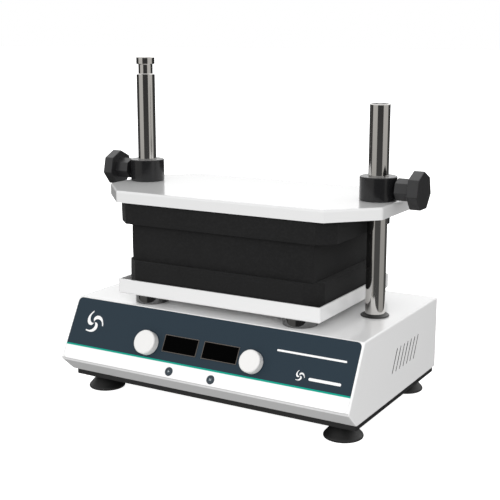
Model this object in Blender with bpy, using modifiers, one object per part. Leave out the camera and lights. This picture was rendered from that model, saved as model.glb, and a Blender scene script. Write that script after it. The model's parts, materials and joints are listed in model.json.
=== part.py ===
"""Multi-tube vortex mixer, modelled as an assembly of separate parts.

Units are metres and +Z is up. X runs along the width, and the front faces -Y. The origin is on the
floor, under the middle of the casing. The upper works (moving frame, poles, tray, rack and clamp)
orbit on a small circle about DRIVE_X, DRIVE_Y; the rest pose has them at the +X end of that circle.
"""
import math

import bmesh
import bpy
from mathutils import Matrix, Vector

# ---------------------------------------------------------------- driving dimensions
GAP = 0.0003                # between parts that rest on, or in, each other
ECC = 0.0018                # orbit radius: the platform's circle is 3.6 mm across
ORBIT_ROOM = 0.0012         # clear space round a moving post, past the orbit itself

# casing
CASE_HALF_X = 0.2112
CASE_TOP_Z = 0.1266
CASE_LOW_Z = 0.0303
CASE_REAR_Y = 0.1406
SLOPE_TOP_Y = -0.0993       # front edge of the flat top
NOSE_Y, NOSE_Z = -0.1406, 0.0506    # where the slope turns under
CHIN_Y = -0.1179            # front edge of the open underside
WALL = 0.0020
CASE_BEVEL = 0.0022

# base plate and feet
BASE_HALF_X = 0.2080
BASE_FRONT_Y, BASE_REAR_Y = -0.1115, 0.1400
BASE_LOW_Z, BASE_TOP_Z = 0.0208, 0.0300
FOOT_X, FOOT_FRONT_Y, FOOT_REAR_Y = 0.1791, -0.0838, 0.1117
FOOT_RIM_R, FOOT_NECK_R = 0.0246, 0.0130

# upper works
MID_Y = 0.0137              # depth of the poles and of the drive shaft
STACK_Y = 0.0124            # middle depth of the tray, the foam and the clamp plate
POLE_X, POLE_R = 0.1744, 0.0125
POLE_FOOT_Z = 0.0960
LEFT_POLE_TOP_Z, RIGHT_POLE_TOP_Z = 0.4438, 0.3918
GROOVE_R, GROOVE_LOW_Z, GROOVE_HIGH_Z = 0.0098, 0.4207, 0.4342
SEAL_R, SEAL_H = 0.0181, 0.0034
POST_X, POST_DY = 0.1110, 0.0820    # tray posts, each side of the middle
POST_R, SHROUD_R = 0.0080, 0.0220
FRAME_HALF_X, FRAME_HALF_Y = 0.1950, 0.0960
FRAME_LOW_Z, FRAME_TOP_Z = 0.1040, 0.1120

# tray and foam
TRAY_HALF_X, TRAY_HALF_Y = 0.1492, 0.1042
TRAY_LOW_Z, TRAY_TOP_Z = 0.1376, 0.1571
TRAY_WALL = 0.0020
RACK_LOW_HALF_X, RACK_LOW_HALF_Y, RACK_STEP_Z = 0.1446, 0.1004, 0.1820
RACK_CUT_X, RACK_CUT_Y = 0.0206, 0.0188     # cut corners of the lower block
RACK_UP_HALF_X, RACK_UP_HALF_Y, RACK_TOP_Z = 0.1343, 0.0925, 0.2304
TUBE_R, TUBE_PITCH_X, TUBE_PITCH_Y = 0.0148, 0.0500, 0.0560
TUBE_COLUMNS, TUBE_ROWS = 5, 3
TUBE_LOW_Z = 0.1560

# clamp
CLAMP_HALF_X, CLAMP_HALF_Y = 0.2020, 0.1022
CLAMP_CUT_X, CLAMP_CUT_Y = 0.0518, 0.0545
CLAMP_LOW_Z, CLAMP_TOP_Z = 0.2589, 0.2740
CLAMP_SHEET = 0.0023
CUSHION_HALF_X, CUSHION_HALF_Y = 0.1590, 0.0990
CUSHION_CUT_X, CUSHION_CUT_Y = 0.0204, 0.0192
COLLAR_R, COLLAR_TOP_Z = 0.0232, 0.3040
SPIGOT_R = 0.0141
NUT_R, NUT_LOW_Z = 0.0178, 0.2600
COLLAR_BORE_R = POLE_R + GAP

# clamp knobs
KNOB_Z = 0.2890
SCREW_R, PAD_LENGTH = 0.0040, 0.0030
KNOB_SIDES = 7
HUB_R, HUB_IN_X, HUB_OUT_X = 0.0140, 0.2005, 0.2202
HEAD_R, HEAD_OUT_X = 0.0240, 0.2340

# front panel, measured across (u) and down the slope (v) from its top edge
OVERLAY_HALF_U, OVERLAY_TOP_V, OVERLAY_LOW_V = 0.2085, 0.0008, 0.0845
OVERLAY_THICK, OVERLAY_CORNER_R = 0.0005, 0.0060
RECESS_DEPTH = 0.0008
DISPLAY_U = (-0.0321, 0.0270)
DISPLAY_V, DISPLAY_W, DISPLAY_H = 0.0419, 0.0510, 0.0221
DISPLAY_DEPTH = 0.0090
KNOB_U, KNOB_V = (-0.0802, 0.0750), 0.0465
DIAL_R = (0.0155, 0.0142)
DIAL_H, DIAL_STEM_R = 0.0113, 0.0030
BUTTON_U, BUTTON_V, BUTTON_R = (-0.0391, 0.0228), 0.0766, 0.0055
BUTTON_PROUD = 0.0006
BOARD_DEPTH, BOARD_THICK = 0.0125, 0.0016

# side vents, slanted like the front
VENT_COUNT, VENT_PITCH, VENT_WIDTH = 7, 0.01175, 0.0026
VENT_FRONT_Y, VENT_MID_Z, VENT_LENGTH = -0.0058, 0.0777, 0.0335
VENT_LEAN = math.atan2(0.0153, 0.0294)

# drive train
DRIVE_X, DRIVE_Y = -ECC, MID_Y
IDLER_X = 0.1400
MOTOR_X, MOTOR_Y = -0.0800, 0.0850
SHAFT_R, PIN_R, IDLER_PIN_R = 0.0080, 0.0065, 0.0045
BEARING_R = 0.0170
DRIVEN_PULLEY_R, MOTOR_PULLEY_R = 0.0340, 0.0160
BELT_LOW_Z, BELT_TOP_Z, BELT_THICK = 0.0700, 0.0780, 0.0030

# rear panel
INLET_X, INLET_Z = -0.1600, 0.0780
SWITCH_X = -0.1180
ROCKER_TILT = math.radians(7.0)

WHITE_PAINT = (0.86, 0.86, 0.86)
BLACK_PLASTIC = (0.030, 0.030, 0.032)
BLACK_RUBBER = (0.022, 0.022, 0.022)
FOAM = (0.020, 0.020, 0.021)
STEEL = (0.60, 0.59, 0.57)
DARK_STEEL = (0.33, 0.33, 0.34)
CIRCUIT_GREEN = (0.02, 0.13, 0.06)

PARTS = None
CUTTERS = None


# ---------------------------------------------------------------- helpers
def new_collection(name):
    collection = bpy.data.collections.new(name)
    bpy.context.scene.collection.children.link(collection)
    return collection


def material(name, colour, roughness, metallic=0.0):
    mat = bpy.data.materials.get(name)
    if mat is None:
        mat = bpy.data.materials.new(name)
        mat.use_nodes = True
        shader = mat.node_tree.nodes["Principled BSDF"]
        shader.inputs["Base Color"].default_value = (*colour, 1.0)
        shader.inputs["Roughness"].default_value = roughness
        shader.inputs["Metallic"].default_value = metallic
    return mat


def keep(obj, name, colour, roughness, metallic=0.0):
    """Name a finished part, give it its own material and put it in the parts collection."""
    obj.name = name
    obj.data.name = name
    obj.data.materials.clear()
    obj.data.materials.append(material(name, colour, roughness, metallic))
    for collection in list(obj.users_collection):
        collection.objects.unlink(obj)
    PARTS.objects.link(obj)
    return obj


def object_from_bmesh(name, bm):
    bmesh.ops.recalc_face_normals(bm, faces=bm.faces)
    mesh = bpy.data.meshes.new(name)
    bm.to_mesh(mesh)
    bm.free()
    obj = bpy.data.objects.new(name, mesh)
    bpy.context.scene.collection.objects.link(obj)
    return obj


def smooth(obj, angle=35.0):
    obj.data.shade_smooth()
    obj.data.set_sharp_from_angle(angle=math.radians(angle))


def box(low, high, bevel=0.0, segments=2):
    """A box between two corners, with rounded edges if bevel is given."""
    bm = bmesh.new()
    low, high = Vector(low), Vector(high)
    matrix = Matrix.Translation((low + high) / 2) @ Matrix.Diagonal((*(high - low), 1.0))
    bmesh.ops.create_cube(bm, size=1.0, matrix=matrix)
    obj = object_from_bmesh("box", bm)
    if bevel:
        round_edges(obj, bevel, segments)
    return obj


def rod(radius, start, end, sides=24, spin=0.0):
    """A straight cylinder, or a prism of few sides, between two points."""
    start, end = Vector(start), Vector(end)
    axis = end - start
    turn = Vector((0, 0, 1)).rotation_difference(axis).to_matrix().to_4x4()
    turn = turn @ Matrix.Rotation(spin, 4, "Z")
    bm = bmesh.new()
    bmesh.ops.create_cone(bm, cap_ends=True, segments=sides, radius1=radius, radius2=radius,
                          depth=axis.length, matrix=Matrix.Translation((start + end) / 2) @ turn)
    obj = object_from_bmesh("rod", bm)
    smooth(obj)
    return obj


def turned(profile, centre=(0, 0, 0), steps=32):
    """A solid of revolution about a vertical axis at centre.

    The profile is (radius, height) pairs that run down the outer side. It starts and ends on the
    axis, or it is a closed ring when its points stay off the axis.
    """
    bm = bmesh.new()
    points = [bm.verts.new((r, 0, z)) for r, z in profile]
    for a, b in zip(points, points[1:]):
        bm.edges.new((a, b))
    if profile[0][0] > 0:
        bm.edges.new((points[-1], points[0]))
    mesh = bpy.data.meshes.new("turned")
    bm.to_mesh(mesh)
    bm.free()
    obj = bpy.data.objects.new("turned", mesh)
    bpy.context.scene.collection.objects.link(obj)
    obj.location = centre
    screw = obj.modifiers.new("Turn", "SCREW")
    screw.steps = steps
    screw.render_steps = steps
    screw.use_merge_vertices = True
    screw.merge_threshold = 0.00001
    screw.use_smooth_shade = True
    return obj


def as_mesh(obj):
    """Replace an object by its evaluated mesh, welded, at the same place."""
    depsgraph = bpy.context.evaluated_depsgraph_get()
    mesh = bpy.data.meshes.new_from_object(obj.evaluated_get(depsgraph))
    bm = bmesh.new()
    bm.from_mesh(mesh)
    bmesh.ops.remove_doubles(bm, verts=bm.verts, dist=0.000005)
    bm.to_mesh(mesh)
    bm.free()
    new = bpy.data.objects.new(obj.name, mesh)
    bpy.context.scene.collection.objects.link(new)
    new.matrix_world = obj.matrix_world.copy()
    bpy.data.objects.remove(obj)
    return new


def plate(outline, low_z, high_z, holes=(), inner_outlines=()):
    """A flat plate with an outline of (x, y) points, round holes of (x, y, radius) and other holes."""
    curve = bpy.data.curves.new("plate", "CURVE")
    curve.dimensions = "2D"
    curve.fill_mode = "BOTH"
    curve.extrude = (high_z - low_z) / 2
    loops = [outline] + [circle(x, y, r) for x, y, r in holes] + list(inner_outlines)
    for points in loops:
        spline = curve.splines.new("POLY")
        spline.points.add(len(points) - 1)
        for point, (x, y) in zip(spline.points, points):
            point.co = (x, y, 0, 1)
        spline.use_cyclic_u = True
    obj = bpy.data.objects.new("plate", curve)
    obj.location = (0, 0, (low_z + high_z) / 2)
    bpy.context.scene.collection.objects.link(obj)
    bpy.context.view_layer.update()
    return as_mesh(obj)


def circle(x, y, radius, sides=20):
    turns = [2 * math.pi * i / sides for i in range(sides)]
    return [(x + radius * math.cos(a), y + radius * math.sin(a)) for a in turns]


def rectangle(half_x, half_y, centre_y=0.0, corner=0.0, arc_steps=4):
    """A rectangle's outline, with round corners if corner is given."""
    if not corner:
        return [(-half_x, centre_y - half_y), (half_x, centre_y - half_y),
                (half_x, centre_y + half_y), (-half_x, centre_y + half_y)]
    points = []
    for quarter, (sx, sy) in enumerate([(1, 1), (-1, 1), (-1, -1), (1, -1)]):
        for step in range(arc_steps + 1):
            angle = (quarter + step / arc_steps) * math.pi / 2
            points.append((sx * (half_x - corner) + corner * math.cos(angle),
                           centre_y + sy * (half_y - corner) + corner * math.sin(angle)))
    return points


def cut_corners(half_x, half_y, cut_x, cut_y, centre_y=STACK_Y):
    """A rectangle's outline with its four corners cut off."""
    quarter = [(half_x, half_y - cut_y), (half_x - cut_x, half_y)]
    right = quarter + [(-x, y) for x, y in reversed(quarter)]
    points = right + [(-x, -y) for x, y in right]
    return [(x, centre_y + y) for x, y in points]


def round_edges(obj, width, segments=2, angle=40.0):
    bevel = obj.modifiers.new("Round", "BEVEL")
    bevel.width = width
    bevel.segments = segments
    bevel.limit_method = "ANGLE"
    bevel.angle_limit = math.radians(angle)
    smooth(obj)
    return obj


def combine(target, tool, operation):
    """Cut the tool out of the target, or join it on, and put the tool away as a cutter."""
    modifier = target.modifiers.new(operation.title(), "BOOLEAN")
    modifier.operation = operation
    modifier.object = tool
    tool.hide_render = True
    tool.display_type = "WIRE"
    tool.name = f"tool_{len(CUTTERS.objects):03d}"
    for collection in list(tool.users_collection):
        collection.objects.unlink(tool)
    CUTTERS.objects.link(tool)
    return target


def cut(target, *tools):
    for tool in tools:
        combine(target, tool, "DIFFERENCE")
    return target


def join(target, *tools):
    for tool in tools:
        combine(target, tool, "UNION")
    return target


def attach(obj, parent):
    """Parent an object whose place is given in the parent's own frame."""
    obj.parent = parent
    return obj


def empty(name, location, rotation=(0, 0, 0)):
    obj = bpy.data.objects.new(name, None)
    obj.location = location
    obj.rotation_euler = rotation
    obj.empty_display_size = 0.02
    PARTS.objects.link(obj)
    return obj


def set_origin(obj, point):
    """Move an object's origin, which its joint turns or slides about, without moving its shape."""
    point = Vector(point)
    obj.data.transform(Matrix.Translation(obj.location - point))
    obj.location = point
    return obj


def pegs(places, radius, low_z, high_z, sides=16):
    """Several upright cylinders in one mesh, as a tool for a pattern of holes."""
    bm = bmesh.new()
    for x, y in places:
        bmesh.ops.create_cone(bm, cap_ends=True, segments=sides, radius1=radius, radius2=radius,
                              depth=high_z - low_z,
                              matrix=Matrix.Translation((x, y, (low_z + high_z) / 2)))
    return object_from_bmesh("pegs", bm)


def open_shell(face, along, open_axis, open_at, thickness, bevel):
    """A shell with even walls: the prism that face sweeps along a vector, with one side left open.

    The open side is the one whose points all have the coordinate open_at on open_axis. The bevel is
    wider than the thickness, so that the inside corners are rounded too.
    """
    bm = bmesh.new()
    end = bm.faces.new([bm.verts.new(point) for point in face])
    swept = bmesh.ops.extrude_face_region(bm, geom=[end])["geom"]
    far_end = [item for item in swept if isinstance(item, bmesh.types.BMVert)]
    bmesh.ops.translate(bm, verts=far_end, vec=along)
    bmesh.ops.recalc_face_normals(bm, faces=bm.faces)
    opened = [f for f in bm.faces if all(abs(v.co[open_axis] - open_at) < 1e-6 for v in f.verts)]
    bmesh.ops.delete(bm, geom=opened, context="FACES_ONLY")
    mesh = bpy.data.meshes.new("shell")
    bm.to_mesh(mesh)
    bm.free()
    obj = bpy.data.objects.new("shell", mesh)
    bpy.context.scene.collection.objects.link(obj)
    round_edges(obj, bevel, 3)
    solidify = obj.modifiers.new("Walls", "SOLIDIFY")
    solidify.thickness = thickness
    solidify.offset = -1.0
    solidify.use_even_offset = True
    return obj


# ---------------------------------------------------------------- the front panel's own frame
SLOPE = math.atan2(CASE_TOP_Z - NOSE_Z, SLOPE_TOP_Y - NOSE_Y)


def panel_frame():
    """An empty on the slope's top edge: X across, Y up the slope, Z out of the panel."""
    return empty("front_panel_frame", (0, SLOPE_TOP_Y, CASE_TOP_Z), (SLOPE, 0, 0))


def on_panel(obj, panel, u, v):
    """Move a piece that is built round Z to its place on the panel, and parent it to the panel."""
    obj.location = (u, -v, 0)
    return attach(obj, panel)


def overlay_outline(margin=0.0):
    half_v = (OVERLAY_LOW_V - OVERLAY_TOP_V) / 2
    return rectangle(OVERLAY_HALF_U + margin, half_v + margin, -(OVERLAY_TOP_V + half_v),
                     OVERLAY_CORNER_R + margin)


def display_window(u, margin=0.0):
    points = rectangle(DISPLAY_W / 2 + margin, DISPLAY_H / 2 + margin, -DISPLAY_V)
    return [(u + x, y) for x, y in points]


# ---------------------------------------------------------------- casing, base and feet
def casing(panel):
    profile = [(SLOPE_TOP_Y, CASE_TOP_Z), (NOSE_Y, NOSE_Z), (CHIN_Y, CASE_LOW_Z),
               (CASE_REAR_Y, CASE_LOW_Z), (CASE_REAR_Y, CASE_TOP_Z)]
    shell = open_shell([(-CASE_HALF_X, y, z) for y, z in profile], (2 * CASE_HALF_X, 0, 0),
                       2, CASE_LOW_Z, WALL, CASE_BEVEL)
    above, below = CASE_TOP_Z + 0.005, CASE_TOP_Z - 0.010
    pole_holes = pegs([(side * POLE_X - ECC, MID_Y) for side in (-1, 1)],
                      POLE_R + ECC + ORBIT_ROOM, below, above, 24)
    post_holes = pegs([(x - ECC, y) for x, y in post_places()],
                      POST_R + ECC + ORBIT_ROOM, below, above)
    recess = attach(plate(overlay_outline(GAP), -RECESS_DEPTH, 0.004), panel)
    windows = [attach(plate(display_window(u, GAP), -0.010, 0.004), panel) for u in DISPLAY_U]
    stems = attach(pegs([(u, -KNOB_V) for u in KNOB_U], DIAL_STEM_R + 0.0015, -0.01, 0.004), panel)
    buttons = attach(pegs([(u, -BUTTON_V) for u in BUTTON_U], BUTTON_R + GAP, -0.01, 0.004), panel)
    cut(shell, pole_holes, post_holes, recess, *windows, stems, buttons)
    cut(shell, *[vent_slot(i) for i in range(VENT_COUNT)])
    cut(shell, box(*inlet_body(GAP, 0.02)), box(*switch_body(GAP, 0.02)))
    return keep(shell, "casing", WHITE_PAINT, 0.30)


def vent_slot(index):
    """A slanted slot with round ends, long enough to cut both side walls."""
    half, radius = VENT_LENGTH / 2, VENT_WIDTH / 2
    outline = rectangle(radius, half, 0.0, radius * 0.98, 2)
    slot = plate(outline, -0.25, 0.25)
    slot.matrix_world = (
        Matrix.Translation((0, VENT_FRONT_Y + index * VENT_PITCH, VENT_MID_Z))
        @ Matrix.Rotation(-VENT_LEAN, 4, "X") @ Matrix(((0, 0, 1, 0), (1, 0, 0, 0), (0, 1, 0, 0),
                                                        (0, 0, 0, 1))))
    return slot


def base_and_feet():
    base = box((-BASE_HALF_X, BASE_FRONT_Y, BASE_LOW_Z), (BASE_HALF_X, BASE_REAR_Y, BASE_TOP_Z),
               0.0008, 1)
    keep(base, "base_plate", (0.025, 0.025, 0.026), 0.45)
    profile = [(0, BASE_LOW_Z - GAP), (FOOT_NECK_R, BASE_LOW_Z - GAP), (FOOT_NECK_R, 0.0172),
               (0.0160, 0.0132), (0.0204, 0.0078), (0.0238, 0.0038), (FOOT_RIM_R, 0.0018),
               (0.0241, 0.0006), (0.0226, 0), (0.0186, 0), (0.0120, 0.0030), (0, 0.0042)]
    for depth, y in (("front", FOOT_FRONT_Y), ("rear", FOOT_REAR_Y)):
        for side, x in (("left", -FOOT_X), ("right", FOOT_X)):
            keep(turned(profile, (x, y, 0), 28), f"foot_{depth}_{side}", BLACK_RUBBER, 0.55)


# ---------------------------------------------------------------- front panel
def front_overlay(panel):
    holes = [(u, -KNOB_V, DIAL_STEM_R + 0.0015) for u in KNOB_U]
    holes += [(u, -BUTTON_V, BUTTON_R + GAP) for u in BUTTON_U]
    sheet = plate(overlay_outline(), -OVERLAY_THICK, 0.0, holes,
                  [display_window(u, GAP) for u in DISPLAY_U])
    keep(attach(sheet, panel), "front_overlay", (0.033, 0.051, 0.067), 0.35)


def displays(panel):
    for side, u in zip(("left", "right"), DISPLAY_U):
        block = box((-DISPLAY_W / 2, -DISPLAY_H / 2, -DISPLAY_DEPTH),
                    (DISPLAY_W / 2, DISPLAY_H / 2, 0), 0.0004, 1)
        keep(on_panel(block, panel, u, DISPLAY_V), f"display_{side}", (0.004, 0.004, 0.005), 0.12)


def control_board(panel):
    low, high = -(BOARD_DEPTH + BOARD_THICK), -BOARD_DEPTH
    board = box((-0.1000, -0.0820, low), (0.0940, -0.0200, high))
    for u in BUTTON_U:
        join(board, attach(box((u - 0.003, -BUTTON_V - 0.003, high - 0.0005),
                               (u + 0.003, -BUTTON_V + 0.003, -0.0108)), panel))
    keep(attach(board, panel), "control_board", CIRCUIT_GREEN, 0.5)
    for side, u in zip(("left", "right"), KNOB_U):
        body = box((-0.0065, -0.0065, high + GAP), (0.0065, 0.0065, -0.0045))
        socket = on_panel(pegs([(0, 0)], DIAL_STEM_R + 0.0004, -0.0080, 0.0), panel, u, KNOB_V)
        keep(cut(on_panel(body, panel, u, KNOB_V), socket), f"encoder_{side}", DARK_STEEL, 0.4, 1)


def dials_and_buttons(panel):
    foot, top = 0.0005, 0.0005 + DIAL_H
    for name, u, radius in zip(("time_dial", "speed_dial"), KNOB_U, DIAL_R):
        profile = [(0, top), (radius - 0.0012, top), (radius - 0.0004, top - 0.0004),
                   (radius, top - 0.0012), (radius, foot), (DIAL_STEM_R, foot),
                   (DIAL_STEM_R, -0.0075), (0, -0.0075)]
        keep(on_panel(turned(profile, steps=36), panel, u, KNOB_V), name, (0.88, 0.88, 0.87), 0.35)
    profile = [(0, BUTTON_PROUD), (BUTTON_R - 0.0007, BUTTON_PROUD), (BUTTON_R, BUTTON_PROUD - 0.0004),
               (BUTTON_R, -0.0030), (BUTTON_R + 0.0013, -0.0030), (BUTTON_R + 0.0013, -0.0040),
               (0.0018, -0.0040), (0.0018, -0.0100), (0, -0.0100)]
    for side, u in zip(("left", "right"), BUTTON_U):
        button = on_panel(turned(profile, steps=20), panel, u, BUTTON_V)
        keep(button, f"button_{side}", (0.033, 0.045, 0.058), 0.4)


# ---------------------------------------------------------------- rear panel
def inlet_body(margin=0.0, proud=0.0006):
    return ((INLET_X - 0.0215 - margin, CASE_REAR_Y - 0.0270 - margin, INLET_Z - 0.0158 - margin),
            (INLET_X + 0.0215 + margin, CASE_REAR_Y + proud, INLET_Z + 0.0158 + margin))


def switch_body(margin=0.0, proud=0.0006):
    return ((SWITCH_X - 0.0093 - margin, CASE_REAR_Y - 0.0230 - margin, INLET_Z - 0.0115 - margin),
            (SWITCH_X + 0.0093 + margin, CASE_REAR_Y + proud, INLET_Z + 0.0115 + margin))


def power_inlet():
    """A recessed mains inlet with three pins, above the slot of its fuse drawer."""
    face = CASE_REAR_Y + 0.0019
    flange = box((INLET_X - 0.0240, CASE_REAR_Y + GAP, INLET_Z - 0.0183),
                 (INLET_X + 0.0240, face, INLET_Z + 0.0183), 0.0005, 1)
    join(flange, box(*inlet_body()))
    socket = box((INLET_X - 0.0122, CASE_REAR_Y - 0.0150, INLET_Z - 0.0045),
                 (INLET_X + 0.0122, CASE_REAR_Y + 0.01, INLET_Z + 0.0125))
    slot = box((INLET_X - 0.0125, CASE_REAR_Y - 0.0210, INLET_Z - 0.0135),
               (INLET_X + 0.0125, CASE_REAR_Y + 0.01, INLET_Z - 0.0065))
    cut(flange, socket, slot)
    for dx, dz in ((-0.0070, 0.0020), (0.0070, 0.0020), (0, 0.0060)):
        pin = box((INLET_X + dx - 0.0010, CASE_REAR_Y - 0.0160, INLET_Z + dz - 0.0020),
                  (INLET_X + dx + 0.0010, CASE_REAR_Y - 0.0015, INLET_Z + dz + 0.0020))
        join(flange, pin)
    keep(flange, "power_inlet", BLACK_PLASTIC, 0.45)
    drawer = box((INLET_X - 0.0122, CASE_REAR_Y - 0.0205, INLET_Z - 0.0132),
                 (INLET_X + 0.0122, CASE_REAR_Y + 0.0016, INLET_Z - 0.0068))
    join(drawer, box((INLET_X - 0.0040, CASE_REAR_Y + 0.0010, INLET_Z - 0.0112),
                     (INLET_X + 0.0040, CASE_REAR_Y + 0.0026, INLET_Z - 0.0092)))
    keep(drawer, "fuse_drawer", BLACK_PLASTIC, 0.5)


def power_switch():
    frame = box((SWITCH_X - 0.0112, CASE_REAR_Y + GAP, INLET_Z - 0.0142),
                (SWITCH_X + 0.0112, CASE_REAR_Y + 0.0019, INLET_Z + 0.0142), 0.0005, 1)
    join(frame, box(*switch_body()))
    pocket = box((SWITCH_X - 0.0078, CASE_REAR_Y - 0.0210, INLET_Z - 0.0090),
                 (SWITCH_X + 0.0078, CASE_REAR_Y + 0.01, INLET_Z + 0.0090))
    keep(cut(frame, pocket), "switch_frame", BLACK_PLASTIC, 0.4)
    half_x = 0.0074
    side_view = [(-0.0050, -0.0066), (-0.0050, 0.0066), (0.0040, 0.0078), (0.0026, 0),
                 (0.0040, -0.0078)]
    bm = bmesh.new()
    end = bm.faces.new([bm.verts.new((-half_x, y, z)) for y, z in side_view])
    swept = bmesh.ops.extrude_face_region(bm, geom=[end])["geom"]
    far_end = [item for item in swept if isinstance(item, bmesh.types.BMVert)]
    bmesh.ops.translate(bm, verts=far_end, vec=(2 * half_x, 0, 0))
    rocker = round_edges(object_from_bmesh("rocker", bm), 0.0004, 1, 30)
    rocker.location = (SWITCH_X, CASE_REAR_Y - 0.0020, INLET_Z)
    rocker.rotation_euler = (ROCKER_TILT, 0, 0)
    keep(rocker, "power_rocker", BLACK_PLASTIC, 0.35)


# ---------------------------------------------------------------- drive train
def drive_shaft():
    z = BASE_TOP_Z
    housing = [(0, z + 0.0033), (BEARING_R + GAP, z + 0.0033), (BEARING_R + GAP, z + 0.0320),
               (0.0235, z + 0.0320), (0.0235, z + 0.0070), (0.0390, z + 0.0070),
               (0.0390, z + GAP), (0, z + GAP)]
    centre = (DRIVE_X, DRIVE_Y, 0)
    keep(turned(housing, centre, 28), "drive_housing", (0.45, 0.45, 0.46), 0.5, 1)
    for name, low in (("shaft_bearing_lower", z + 0.0040), ("shaft_bearing_upper", z + 0.0210)):
        keep(ring(SHAFT_R + GAP, BEARING_R, low, low + 0.0100, centre), name, STEEL, 0.2, 1)

    low, disc_low, disc_top = z + 0.0045, 0.0926, 0.0952
    profile = [(0, disc_top), (0.0130, disc_top), (0.0130, disc_low), (SHAFT_R, disc_low),
               (SHAFT_R, low), (0, low)]
    shaft = turned(profile, centre, 24)
    join(shaft, rod(PIN_R, (0, MID_Y, disc_top - 0.001), (0, MID_Y, FRAME_TOP_Z - GAP), 20))
    keep(shaft, "eccentric_shaft", STEEL, 0.25, 1)

    keep(pulley(DRIVEN_PULLEY_R, SHAFT_R + GAP, centre, 36), "driven_pulley", DARK_STEEL, 0.35, 1)
    keep(counterweight(), "counterweight", (0.40, 0.39, 0.38), 0.4, 1)
    keep(ring(PIN_R + GAP, BEARING_R, FRAME_LOW_Z, FRAME_TOP_Z, (0, MID_Y, 0)),
         "platform_bearing", STEEL, 0.2, 1)


def ring(inner, outer, low_z, high_z, centre, steps=24):
    profile = [(outer, high_z), (outer, low_z), (inner, low_z), (inner, high_z)]
    return turned(profile, centre, steps)


def pulley(radius, bore, centre, steps):
    """A belt pulley with a flange on each side of the belt."""
    flange, seat_low, seat_top = radius + 0.0025, BELT_LOW_Z - GAP, BELT_TOP_Z + GAP
    profile = [(flange, seat_top + 0.0017), (flange, seat_top), (radius, seat_top),
               (radius, seat_low), (flange, seat_low), (flange, seat_low - 0.0017),
               (bore, seat_low - 0.0017), (bore, seat_top + 0.0017)]
    return turned(profile, centre, steps)


def counterweight():
    """A half disc on the shaft, opposite the eccentric pin."""
    arcs = [(0.0360, 100, 260, 10), (0.0140, -100, 100, 8)]
    outline = []
    for radius, start, end, steps in arcs:
        for i in range(steps + 1):
            angle = math.radians(start + (end - start) * i / steps)
            outline.append((DRIVE_X + radius * math.cos(angle), DRIVE_Y + radius * math.sin(angle)))
    return plate(outline, 0.0826, 0.0920, [(DRIVE_X, DRIVE_Y, SHAFT_R + GAP)])


def belt_outline(outward):
    """The path of the belt round both pulleys, moved outward from the belt seats."""
    across = Vector((MOTOR_X - DRIVE_X, MOTOR_Y - DRIVE_Y))
    heading = math.atan2(across.y, across.x)
    open_angle = math.acos((DRIVEN_PULLEY_R - MOTOR_PULLEY_R) / across.length)
    points = []
    for x, y, radius, start, sweep, steps in (
            (DRIVE_X, DRIVE_Y, DRIVEN_PULLEY_R, open_angle, 2 * (math.pi - open_angle), 20),
            (MOTOR_X, MOTOR_Y, MOTOR_PULLEY_R, -open_angle, 2 * open_angle, 10)):
        for i in range(steps + 1):
            angle = heading + start + sweep * i / steps
            points.append((x + (radius + outward) * math.cos(angle),
                           y + (radius + outward) * math.sin(angle)))
    return points


def motor_and_belt():
    centre = (MOTOR_X, MOTOR_Y, 0)
    top, radius = 0.0600, 0.0300
    body = [(0, 0.0450), (0.0045, 0.0450), (0.0045, top), (radius, top), (radius, 0.0330),
            (0, 0.0330)]
    keep(turned(body, centre, 28), "drive_motor", DARK_STEEL, 0.4, 1)
    shaft = rod(0.0040, (MOTOR_X, MOTOR_Y, 0.0460), (MOTOR_X, MOTOR_Y, 0.0830), 16)
    keep(shaft, "motor_shaft", STEEL, 0.2, 1)
    keep(pulley(MOTOR_PULLEY_R, 0.0040 + GAP, centre, 24), "motor_pulley", DARK_STEEL, 0.35, 1)

    # the bracket is a bridge that stands on the base plate and holds the motor from above
    half_x, half_y, sheet, foot = 0.0380, 0.0240, 0.0030, 0.0090
    low, high = BASE_TOP_Z + GAP, top + GAP + sheet
    bridge = box((MOTOR_X - half_x, MOTOR_Y - half_y, high - sheet),
                 (MOTOR_X + half_x, MOTOR_Y + half_y, high))
    for side in (-1, 1):
        outer, inner = MOTOR_X + side * half_x, MOTOR_X + side * (half_x - sheet)
        reach = MOTOR_X + side * (half_x + foot)
        leg_x, foot_x = sorted((inner, outer)), sorted((inner, reach))
        join(bridge, box((leg_x[0], MOTOR_Y - half_y, low), (leg_x[1], MOTOR_Y + half_y, high)),
             box((foot_x[0], MOTOR_Y - half_y, low), (foot_x[1], MOTOR_Y + half_y, low + sheet)))
    cut(bridge, pegs([(MOTOR_X, MOTOR_Y)], 0.0100, high - 0.010, high + 0.010))
    keep(bridge, "motor_bracket", STEEL, 0.45, 1)

    belt = plate(belt_outline(GAP + BELT_THICK), BELT_LOW_Z, BELT_TOP_Z, (), [belt_outline(GAP)])
    keep(belt, "drive_belt", BLACK_RUBBER, 0.6)

    supply = box((0.0600, 0.0560, low), (0.1720, 0.1160, 0.0640), 0.0010, 1)
    keep(supply, "power_supply", STEEL, 0.4, 1)


def idlers():
    """Two cranks that turn with the drive and keep the platform from turning."""
    z = BASE_TOP_Z
    for side, name in ((-1, "left"), (1, "right")):
        centre = (side * IDLER_X - ECC, MID_Y, 0)
        housing = [(0, z + 0.0040), (0.0063, z + 0.0040), (0.0063, 0.0880), (0.0130, 0.0880),
                   (0.0130, z + 0.0050), (0.0230, z + 0.0050), (0.0230, z + GAP), (0, z + GAP)]
        keep(turned(housing, centre, 20), f"idler_housing_{name}", (0.45, 0.45, 0.46), 0.5, 1)
        crank = turned([(0, 0.0945), (0.0110, 0.0945), (0.0110, 0.0885), (0.0060, 0.0885),
                        (0.0060, z + 0.0050), (0, z + 0.0050)], centre, 20)
        pin_x = side * IDLER_X
        join(crank, rod(IDLER_PIN_R, (pin_x, MID_Y, 0.0935), (pin_x, MID_Y, FRAME_TOP_Z - GAP), 16))
        keep(crank, f"idler_crank_{name}", STEEL, 0.25, 1)


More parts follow.
